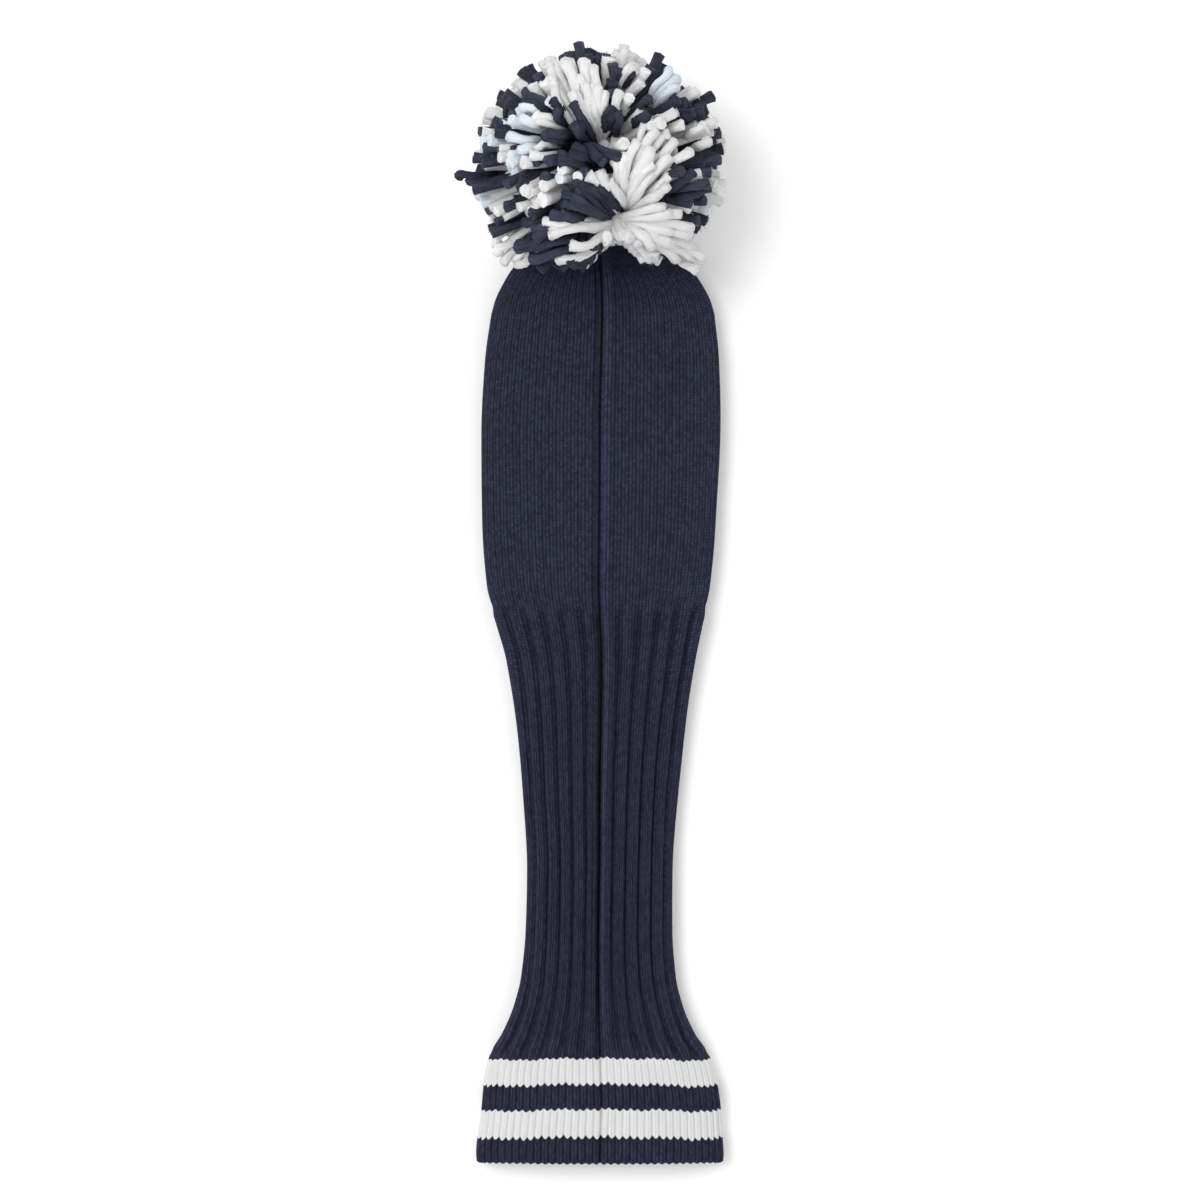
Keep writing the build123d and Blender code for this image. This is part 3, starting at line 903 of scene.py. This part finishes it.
# Where each colour shows on the upper side: across and along from the pom-pom's middle, millimetres
NAVY_SPOTS = [
    (-8, 46), (0, 46), (2, 39), (20, 42), (23, 34), (11, 37), (11, 31), (37, 33), (42, 26),
    (43, 20), (33, 25), (37, 21), (28, 24), (19, 28), (18, 22), (27, 19), (-27, 38), (-35, 37),
    (-36, 30), (-29, 28), (-41, 26), (-37, 21), (-42, 18), (-41, 13), (-34, 12), (-48, 11),
    (-24, 9), (-36, 6), (-31, 2), (-47, 4), (-46, 1), (-51, -2), (-50, -7), (-23, -4), (-20, -8),
    (-12, 1), (-8, 2), (-6, -6), (-38, -9), (-47, -11), (-31, -8), (-33, -13), (-35, -19),
    (-37, -16), (-42, -19), (-48, -23), (-45, -26), (-40, -27), (-29, -28), (-31, -36), (-17, -40),
    (3, 20), (6, 15), (17, 13), (15, 9), (5, 0), (49, 14), (49, 8), (32, 9), (35, 3), (45, 5),
    (47, 2), (41, -2), (31, -5), (28, -11), (51, -2), (43, -12), (41, -16), (36, -15), (50, -17),
    (49, -25), (41, -26), (36, -29), (42, -31), (-14, -16), (-20, -22), (-5, -13),
]
WHITE_SPOTS = [
    (-18, 39), (-6, 40), (8, 46), (15, 39), (40, 29), (14, 28), (-31, 32), (-24, 30), (-32, 23),
    (-47, 21), (-29, 14), (-20, 11), (-47, 15), (-22, 2), (-39, 2), (-30, -2), (-46, -5), (-5, -1),
    (-26, -8), (-11, -7), (-2, -8), (-43, -12), (-27, -13), (-20, -14), (-28, -19), (-24, -17),
    (-41, -22), (-35, -26), (-37, -32), (-46, -32), (-42, -34), (-36, -40), (2, 13), (6, 9),
    (12, 24), (13, 17), (13, 13), (20, 18), (30, 20), (22, 13), (27, 11), (32, 6), (27, -7), (9, 5),
    (2, 6), (-2, 6), (35, 13), (40, 16), (45, 16), (41, 10), (40, 2), (36, -1), (48, -6), (46, -11),
    (40, -11), (30, -16), (33, -22), (39, -20), (30, -26), (30, -31), (35, -36), (39, -37),
    (28, -39), (36, -41), (45, -30), (10, -30), (-22, -30),
]
ICE_SPOTS = [
    (28, 38), (31, 32), (24, 29), (-27, 20), (-18, 18), (-35, 16), (-22, 15), (-43, 9), (-38, 9),
    (-31, 8), (-27, 4), (-35, 0), (-39, -5), (-33, -5), (-14, -10), (-48, -16), (46, -19),
]

# Long locks that lie over the rest, in millimetres from the pom-pom's middle: root and tip (across,
# along), number of strands, spread at the tip, yarn, and bow to the left of the lock's way
LOCKS = [
    ((-3, 9), (-21, 41), 3, 4, "white", 2), ((-2, 10), (-13, 42), 4, 5, "white", 1),
    ((-1, 10), (-5, 41), 4, 4, "white", 0), ((-1, 11), (1, 36), 3, 3, "white", 0),
    ((0, 12), (7, 31), 2, 3, "white", -1), ((-1, 10), (-9, 30), 3, 4, "white", 1),
    ((-17, 18), (-28, 25), 2, 2, "navy", 0), ((-13, 16), (-20, 24), 2, 2, "navy", 0),
    ((-5, 7), (-11, 18), 4, 3, "navy", 0), ((-12, 8), (-24, 10), 2, 1, "navy", 0),
    ((-20, 16), (-32, 20), 2, 3, "ice", 0), ((-14, 13), (-26, 16), 2, 2, "white", 0),
    ((-22, 6), (-35, 6), 2, 3, "ice", 0), ((-15, 3), (-27, 2), 2, 2, "white", 0),
    ((10, -20), (22, 15), 2, 3, "white", 3), ((11, -20), (28, 11), 3, 4, "white", 3),
    ((11, -19), (32, 4), 3, 3, "white", 2), ((9, -18), (14, 7), 3, 4, "white", 3),
    ((8, -20), (0, -8), 3, 3, "white", 1), ((9, -16), (8, 0), 2, 3, "white", 2),
    ((11, -19), (22, -1), 3, 3, "white", 2), ((12, -21), (27, -9), 2, 2, "white", 0),
    ((22, -13), (36, -5), 2, 2, "navy", 1), ((27, -16), (41, -13), 2, 2, "navy", 0),
    ((9, -25), (33, -21), 2, 2, "white", 0), ((8, -26), (33, -28), 3, 3, "white", 1),
    ((9, -27), (31, -35), 3, 3, "white", 1), ((12, -27), (26, -39), 2, 3, "white", 0),
    ((14, -29), (37, -41), 3, 4, "white", 1),
    ((5, -22), (-5, -12), 3, 3, "navy", 0), ((4, -22), (-12, -14), 3, 3, "navy", 0),
    ((3, -23), (-17, -18), 3, 2, "navy", 0), ((-4, -24), (-22, -24), 2, 1, "navy", 1),
    ((-12, -30), (-30, -36), 3, 2, "navy", 1), ((-8, -33), (-24, -39), 2, 2, "navy", 1),
    ((7, -27), (-18, -28), 2, 1, "white", 3), ((6, -28), (-23, -32), 2, 1, "white", -2),
    ((5, -31), (-16, -41), 2, 1, "white", 5),
    ((-6, 5), (6, -2), 4, 3, "navy", 0), ((5, 13), (7, 22), 3, 2, "navy", 0),
    ((-2, -3), (-13, 2), 4, 4, "navy", 0), ((14, 17), (20, 22), 2, 3, "navy", 0),
    ((22, 26), (30, 36), 3, 3, "ice", 0), ((-3, -25), (-25, -29), 2, 1, "navy", 0),
    ((37, 8), (44, 13), 2, 3, "white", 0),
    ((-44, -6), (-56, -6), 2, 1, "navy", 0),
    ((-27, -34), (-36, -44), 3, 3, "white", 0), ((-34, -29), (-43, -38), 2, 3, "white", 0),
    ((30, -35), (39, -43), 2, 3, "white", 0),
]

# The parting's two ends; then the strands, and in metres how far past the gathering yarn the crown
# ends and how far yarn keeps from it
PARTING = np.array([(-1.6, 12.0), (8.6, -21.0)])
STRAND_COUNT = 1040
STRAND_RINGS = 10
YARN_RADIUS = 2.0
CROWN_END = 1.5 * MM
CROWN_CLEARANCE = 5.6 * MM
FIBRES_AT_END = 11
FIBRES_ON_SIDE = 2

# How far yarn reaches from the pom-pom's middle, in millimetres: the strands' tips, and the balls
# that the locks' roots, tips and middles follow, the roots diving in below theirs
BALL_REACH = 50.0
LOCK_ROOT_REACH = 44.0
LOCK_TIP_REACH = 49.0
LOCK_MIDDLE_REACH = 53.5
LOCK_DIVE = 18.0


def on_ball(flat, reach):
    """Height over the pom-pom's middle of a ball of that radius, at a point across and along."""
    return np.sqrt(np.maximum(reach**2 - (flat**2).sum(axis=-1), 0.0))


def nearest_on_parting(flat):
    """The point of the parting line nearest to each flat point."""
    start, along = PARTING[0], PARTING[1] - PARTING[0]
    t = np.clip(((flat - start) @ along) / (along @ along), 0, 1)
    return start + t[:, None] * along


def lock_strands(rng):
    """The long locks, in millimetres from the pom-pom's middle: each strand leaves its root in the
    parting, rises to the ball's face and follows it to its tip."""
    roots, tips, bows, yarns = [], [], [], []
    for root, tip, count, spread, yarn, bow in LOCKS:
        way = unit(np.array(tip, float) - root)
        across = np.array([-way[1], way[0]])
        for step in range(count):
            side = (step - (count - 1) / 2) / max(count - 1, 1)
            jitter = rng.uniform(-1, 1, 3)
            short = 1 - 0.4 * rng.random() * (rng.random() < 0.6)
            roots.append(np.array(root) + across * (side * 3.5 + jitter[0]) - way * 3)
            far = np.array(tip) + across * (side * 2 * spread + jitter[1]) + way * jitter[2] * 3.5
            tips.append(np.array(root) + (far - root) * short)
            bows.append(across * (bow + jitter[0] * 1.5))
            yarns.append(yarn)
    roots, tips, bows = np.array(roots), np.array(tips), np.array(bows)
    low = rng.uniform(-5.0, 0.0, len(roots))
    root = np.column_stack([roots, on_ball(roots, LOCK_ROOT_REACH) - LOCK_DIVE + low])
    tip = np.column_stack([tips, on_ball(tips * 0.96, LOCK_TIP_REACH) + low])
    middle = roots * 0.5 + tips * 0.5 + bows
    rise = (root[:, 2] + tip[:, 2]) / 2 + 12.0 + 0.5 * tip[:, 2]
    high = np.minimum(on_ball(middle, LOCK_MIDDLE_REACH), rise)
    knee = np.column_stack([middle * 1.04, high + low])
    return root, knee, tip, np.array(yarns)


def ball_strands(rng, covered, lock_roots):
    """The rest of the pom-pom, in millimetres from its middle: tips spread evenly over the ball by
    the golden angle. Upper strands leave from under the parting, lower ones from the core. Those
    under a long lock are shorter, and those where the locks dive in are shorter still."""
    index = np.arange(STRAND_COUNT) + 0.5
    height = 1 - 2 * index / STRAND_COUNT
    swing = index * math.pi * (3 - math.sqrt(5))
    level = np.sqrt(1 - height**2)
    way = np.column_stack([level * np.cos(swing), level * np.sin(swing), height])
    way = unit(way + rng.normal(0, 0.06, way.shape))
    short = np.abs(rng.normal(0, 3.6, STRAND_COUNT))
    reach = BALL_REACH - short + 3.5 * (rng.random(STRAND_COUNT) < 0.12)
    upper = smooth_step(way[:, 2], -0.35, 0.45)
    tip = way * reach[:, None]
    gap = np.linalg.norm(tip[:, None, :2] - covered[None, :, :2], axis=-1).min(axis=1)
    under = (gap < 3.0) & (way[:, 2] > 0.1)
    tip = np.where(under[:, None], tip * 0.82, tip)
    gap = np.linalg.norm(tip[:, None, :2] - lock_roots[None, :, :2], axis=-1).min(axis=1)
    tip = np.where(((gap < 5.0) & (way[:, 2] > 0.1))[:, None], tip * 0.7, tip)
    parting = nearest_on_parting(tip[:, :2])
    start = np.column_stack([parting * 0.5, np.full(STRAND_COUNT, 9.0)])
    root = start * upper[:, None] + way * 9.0 * (1 - upper[:, None])
    knee = root * 0.45 + tip * 0.55
    knee += unit(knee) * (1.0 + 2.0 * upper)[:, None] + rng.normal(0, 2.2, knee.shape)
    return root, knee, tip


def spot_yarns(tips, rng):
    """The yarn of each strand: the nearest spot's on the upper side, and groups at random below."""
    spots = np.array(NAVY_SPOTS + WHITE_SPOTS + ICE_SPOTS, float)
    names = np.repeat(["navy", "white", "ice"], [len(NAVY_SPOTS), len(WHITE_SPOTS), len(ICE_SPOTS)])
    seen = names[np.linalg.norm(tips[:, None, :2] - spots[None], axis=-1).argmin(axis=1)]
    seeds = unit(rng.normal(0, 1, (70, 3)))
    seed_yarns = rng.choice(["navy", "white", "ice"], 70, p=[0.42, 0.42, 0.16])
    hidden = seed_yarns[(unit(tips) @ seeds.T).argmax(axis=1)]
    return np.where(tips[:, 2] > -4, seen, hidden)


def hem_in(points):
    """Keeps points, in millimetres, inside the pom-pom's outline on the side where it meets the
    crown, which is hollowed in the middle, and squashes the ball a little on that side."""
    limit = -31.0 - 14.5 * smooth_step(np.abs(points[..., 0] - 7.0), 1.0, 19.0)
    along = points[..., 1] * np.where(points[..., 1] < 0, 0.95, 0.92)
    low = limit + 0.5 * (along - limit + np.sqrt((along - limit) ** 2 + 9.0))
    return np.stack([points[..., 0] * 1.02 - 0.5, np.maximum(low, along), points[..., 2]], -1)


def fibre_ends(rng, path, radius, tone, area):
    """Loose fibres: most stand out of each strand's cut end, some lift from its side."""
    way = unit(path[:, -1] - path[:, -2])
    each = FIBRES_AT_END + FIBRES_ON_SIDE
    count = len(path) * each
    rings = path.shape[1]
    strand = np.repeat(np.arange(len(path)), each)
    is_end = np.tile(np.arange(each) < FIBRES_AT_END, len(path))
    ring = np.where(is_end, rings - 1, rng.integers(rings // 2, rings, count))
    out = rng.normal(0, 1, (count, 3))
    out = unit(out - (out * way[strand]).sum(axis=1, keepdims=True) * way[strand])
    off = np.where(is_end, rng.uniform(0, 0.95, count), 0.9) * radius[strand, ring]
    base = path[strand, ring] + out * off[:, None]
    lean = np.where(is_end, rng.uniform(0.0, 0.45, count), rng.uniform(0.15, 0.5, count))
    heading = unit(way[strand] + out * lean[:, None])
    reach = np.where(is_end, rng.uniform(0.4, 1.5, count), rng.uniform(1.0, 2.2, count)) * MM
    t = np.linspace(0, 1, 2)[None, :, None]
    line = base[:, None] + heading[:, None] * reach[:, None, None] * t
    line[..., 2] = soft_floor(line[..., 2], 0.3 * MM, 0.1 * MM)
    thick = np.array([0.055, 0.025])[None, :] * MM * np.ones((count, 1))
    return tube_geometry(line, thick, 3, np.zeros(line.shape[:2]), tone=tone[strand], area=area)


def make_pom():
    """Three pieces of cut yarn, navy, white and ice-blue, kept above the floor and off the crown.
    A strand's path is (1 - t)^2 root + 2t(1 - t) knee + t^2 tip with a small sideways wave."""
    rng = np.random.default_rng(14)
    lock_root, lock_knee, lock_tip, lock_yarn = lock_strands(rng)
    covered = np.concatenate([lock_root * (1 - t) + lock_tip * t
                              for t in (0.0, 0.2, 0.4, 0.6, 0.85)])
    root, knee, tip = ball_strands(rng, covered, lock_root)
    yarns = np.concatenate([spot_yarns(tip, rng), lock_yarn])
    root, knee, tip = (np.concatenate(pair)[:, None] for pair in
                       ((root, lock_root), (knee, lock_knee), (tip, lock_tip)))
    count = len(root)
    t = np.linspace(0, 1, STRAND_RINGS)[None, :, None]
    path = (1 - t) ** 2 * root + 2 * t * (1 - t) * knee + t**2 * tip
    phase = rng.uniform(0, 2 * np.pi, (count, 1, 3))
    path = path + 0.9 * np.sin(2 * np.pi * t * rng.uniform(0.6, 1.5, (count, 1, 1)) + phase) * t
    path = hem_in(path) * MM + pom_center

    tie_way = unit(pom_center - tie_start)
    thickness = YARN_RADIUS * MM
    past = (path - tie_start) @ tie_way
    push = soft_floor(past, CROWN_END + CROWN_CLEARANCE, 1.5 * MM) - past
    path = path + push[..., None] * tie_way
    path[..., 2] = soft_floor(path[..., 2], 1.6 * thickness, 1.0 * MM)

    share = np.linspace(0, 1, STRAND_RINGS)[None, :]
    swell = smooth_curve(share, [0, 0.3, 0.6, 0.87, 1], [0.7, 0.93, 0.98, 1.04, 1.2])
    size = rng.normal(1.0, 0.08, (count, 1))
    lumps = rng.normal(0, 0.09, (count, STRAND_RINGS + 2))
    lumps = (lumps[:, :-2] + 2 * lumps[:, 1:-1] + lumps[:, 2:]) / 4
    radius = thickness * size * swell * (1 + lumps)
    twist = rng.uniform(0.3, 0.7, (count, 1)) * share * 2 * np.pi
    twist = twist + rng.uniform(0, 2 * np.pi, (count, 1))
    tone = rng.uniform(0, 1, count)
    for yarn, material in {"navy": NAVY_YARN, "white": WHITE_YARN, "ice": ICE_YARN}.items():
        own = yarns == yarn
        fray = rng.normal(0, 0.22, (int(own.sum()), 8)) * MM
        strands = tube_geometry(path[own], radius[own], 8, twist[own], 2, 0.07, tone[own],
                                area=(0.0, 0.85), fray=fray)
        fibres = fibre_ends(rng, path[own], radius[own], tone[own], (0.85, 1.0))
        piece = yarn_piece(f"pom_{yarn}_strands", [strands, fibres], material, flat_parts=(1,))
        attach(piece, "pom")
        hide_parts(f"pom_yarn_{yarn}")


# ---------------------------------------------------------------- studio

def make_studio():
    """A plain pale floor, a large soft key from the upper left, even light all round, and a long
    lens straight above."""
    size = 6.0
    mesh = bpy.data.meshes.new("floor")
    mesh.from_pydata([(-size, -size, 0), (size, -size, 0), (size, size, 0), (-size, size, 0)], [],
                     [(0, 1, 2, 3)])
    floor = bpy.data.objects.new("floor", mesh)
    bpy.context.scene.collection.objects.link(floor)
    paint = bpy.data.materials.new("Pale floor")
    paint.use_nodes = True
    shader = paint.node_tree.nodes["Principled BSDF"]
    shader.inputs["Base Color"].default_value = (0.93, 0.93, 0.93, 1)
    shader.inputs["Roughness"].default_value = 0.9
    shader.inputs["Specular IOR Level"].default_value = 0.1
    shader.inputs["Emission Color"].default_value = (1, 1, 1, 1)
    shader.inputs["Emission Strength"].default_value = 0.12
    mesh.materials.append(paint)

    sun = bpy.data.lights.new("key", "SUN")
    sun.energy = 1.2
    sun.angle = math.radians(26)
    key = bpy.data.objects.new("key", sun)
    key.rotation_euler = (math.radians(-12), math.radians(-23), 0)
    bpy.context.scene.collection.objects.link(key)

    world = bpy.data.worlds.new("even light")
    world.use_nodes = True
    world.node_tree.nodes["Background"].inputs["Color"].default_value = (1, 1, 1, 1)
    world.node_tree.nodes["Background"].inputs["Strength"].default_value = 0.82
    bpy.context.scene.world = world

    distance = 3.0
    field = 492 * MM
    sensor = 36.0
    lens = bpy.data.cameras.new("camera")
    lens.sensor_width = sensor
    lens.lens = sensor * distance / field
    camera = bpy.data.objects.new("camera", lens)
    camera.location = (0, (cad_low.y + cad_high.y) / 2 + 1.9 * MM, distance + 10 * MM)
    bpy.context.scene.collection.objects.link(camera)
    bpy.context.scene.camera = camera
    bpy.context.scene.view_settings.view_transform = "Standard"


make_studio()
make_knit()
make_seams()
make_inside()
make_pom()
